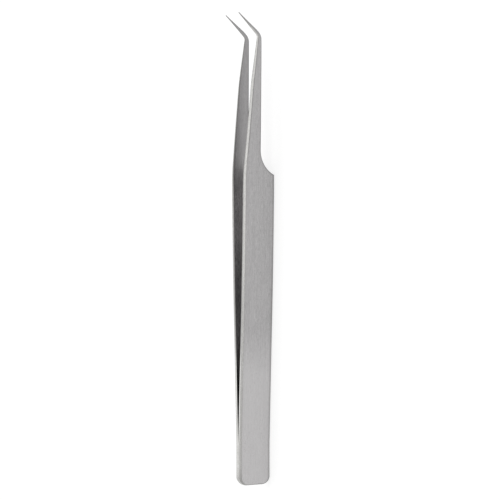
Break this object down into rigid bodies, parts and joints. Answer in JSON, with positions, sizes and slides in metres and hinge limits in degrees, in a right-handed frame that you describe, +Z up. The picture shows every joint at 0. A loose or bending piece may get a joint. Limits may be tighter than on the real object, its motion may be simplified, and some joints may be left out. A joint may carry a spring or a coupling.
{
  "type": "tweezers",
  "caption": "Fine-pointed steel tweezers: sprung arms welded at the rear bow apart, with a scooped shoulder and slim front whose tips bend upward to a point.",
  "frame": {"origin": "middle of the tweezers' footprint, on the surface that the straight edges of the arms rest on", "axes": "+X from the welded rear end to the tips, +Z up, the way the tips bend, and Y across the arms, which open along it; the tweezers mirror about Y = 0"},
  "size_m": [0.14, 0.0092, 0.0122],
  "materials": {
    "arm_steel": "satin stainless steel, brushed lengthwise",
    "weld_steel": "dull fused steel"
  },
  "bodies": {
    "heel": {"left_heel": "arm_steel", "right_heel": "arm_steel", "front_spot_weld": "weld_steel", "rear_spot_weld": "weld_steel"},
    "left_arm": {"left_blade": "arm_steel"},
    "right_arm": {"right_blade": "arm_steel"}
  },
  "joints": [
    {"name": "left_arm_flex", "type": "hinge", "parent": "heel", "child": "left_arm", "pos_m": [-0.034, 0.00175, 0.0051], "axis": [0, 0, -1], "range_deg": [0, 2.05], "stiffness_Nm_per_rad": 3.1},
    {"name": "right_arm_flex", "type": "hinge", "parent": "heel", "child": "right_arm", "pos_m": [-0.034, -0.00175, 0.0051], "axis": [0, 0, 1], "range_deg": [0, 2.05], "stiffness_Nm_per_rad": 3.1}
  ]
}
